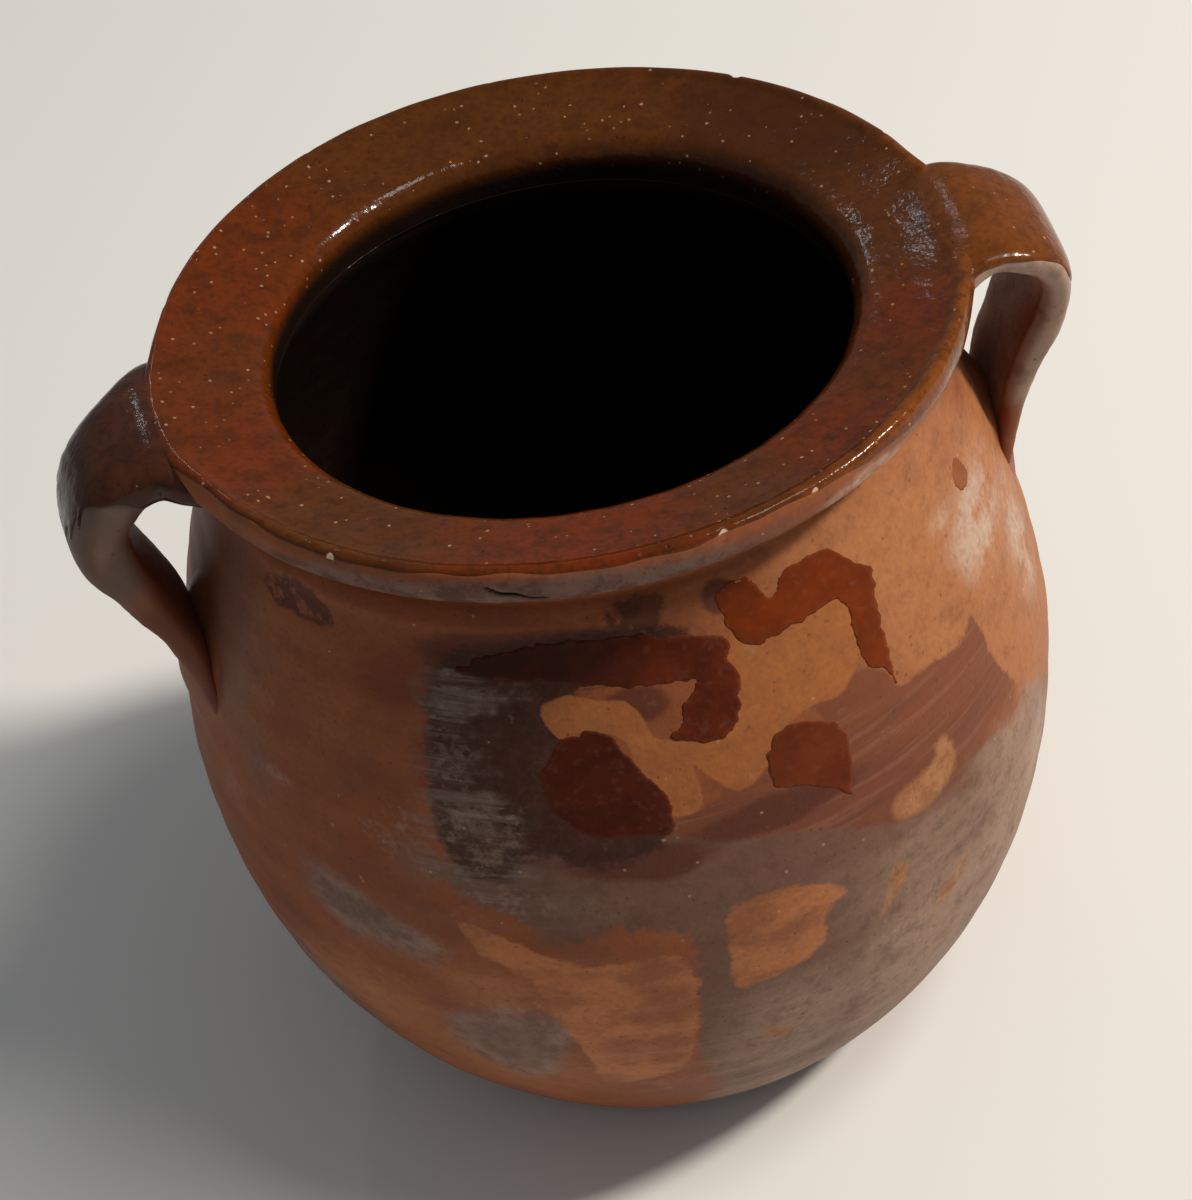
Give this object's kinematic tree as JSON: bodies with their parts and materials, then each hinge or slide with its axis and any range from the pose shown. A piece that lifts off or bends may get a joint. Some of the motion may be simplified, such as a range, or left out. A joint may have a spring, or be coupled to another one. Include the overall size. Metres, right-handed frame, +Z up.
{
  "type": "clay storage jar",
  "caption": "Small round-bellied clay storage jar with a wide flat rim, strap handles from rim to shoulder, a glazed inside and glaze spills on a bare clay wall.",
  "frame": {"origin": "middle of the flat base, where the jar's axis meets the surface it stands on", "axes": "+Z up along the jar's axis, +X from the left handle to the right handle, -Y towards the front that the picture shows"},
  "size_m": [0.178, 0.162, 0.161],
  "materials": {
    "body_clay": "matt low-fired terracotta, smoke-stained",
    "handle_clay": "matt pulled terracotta",
    "luting_clay": "matt smeared terracotta",
    "dark_glaze": "glossy dark brown glaze",
    "honey_glaze": "glossy speckled honey-brown glaze"
  },
  "bodies": {
    "root": {"thrown_body": "body_clay", "rim_ring": "body_clay", "left_handle": "handle_clay", "right_handle": "handle_clay", "left_upper_lute": "luting_clay", "left_lower_lute": "luting_clay", "right_upper_lute": "luting_clay", "right_lower_lute": "luting_clay", "lining_glaze": "dark_glaze", "rim_glaze": "honey_glaze", "left_handle_glaze": "dark_glaze", "right_handle_glaze": "honey_glaze", "shoulder_spill": "dark_glaze", "belly_spill": "dark_glaze", "arch_run": "dark_glaze", "block_run": "dark_glaze", "side_droplet": "dark_glaze"}
  },
  "joints": []
}
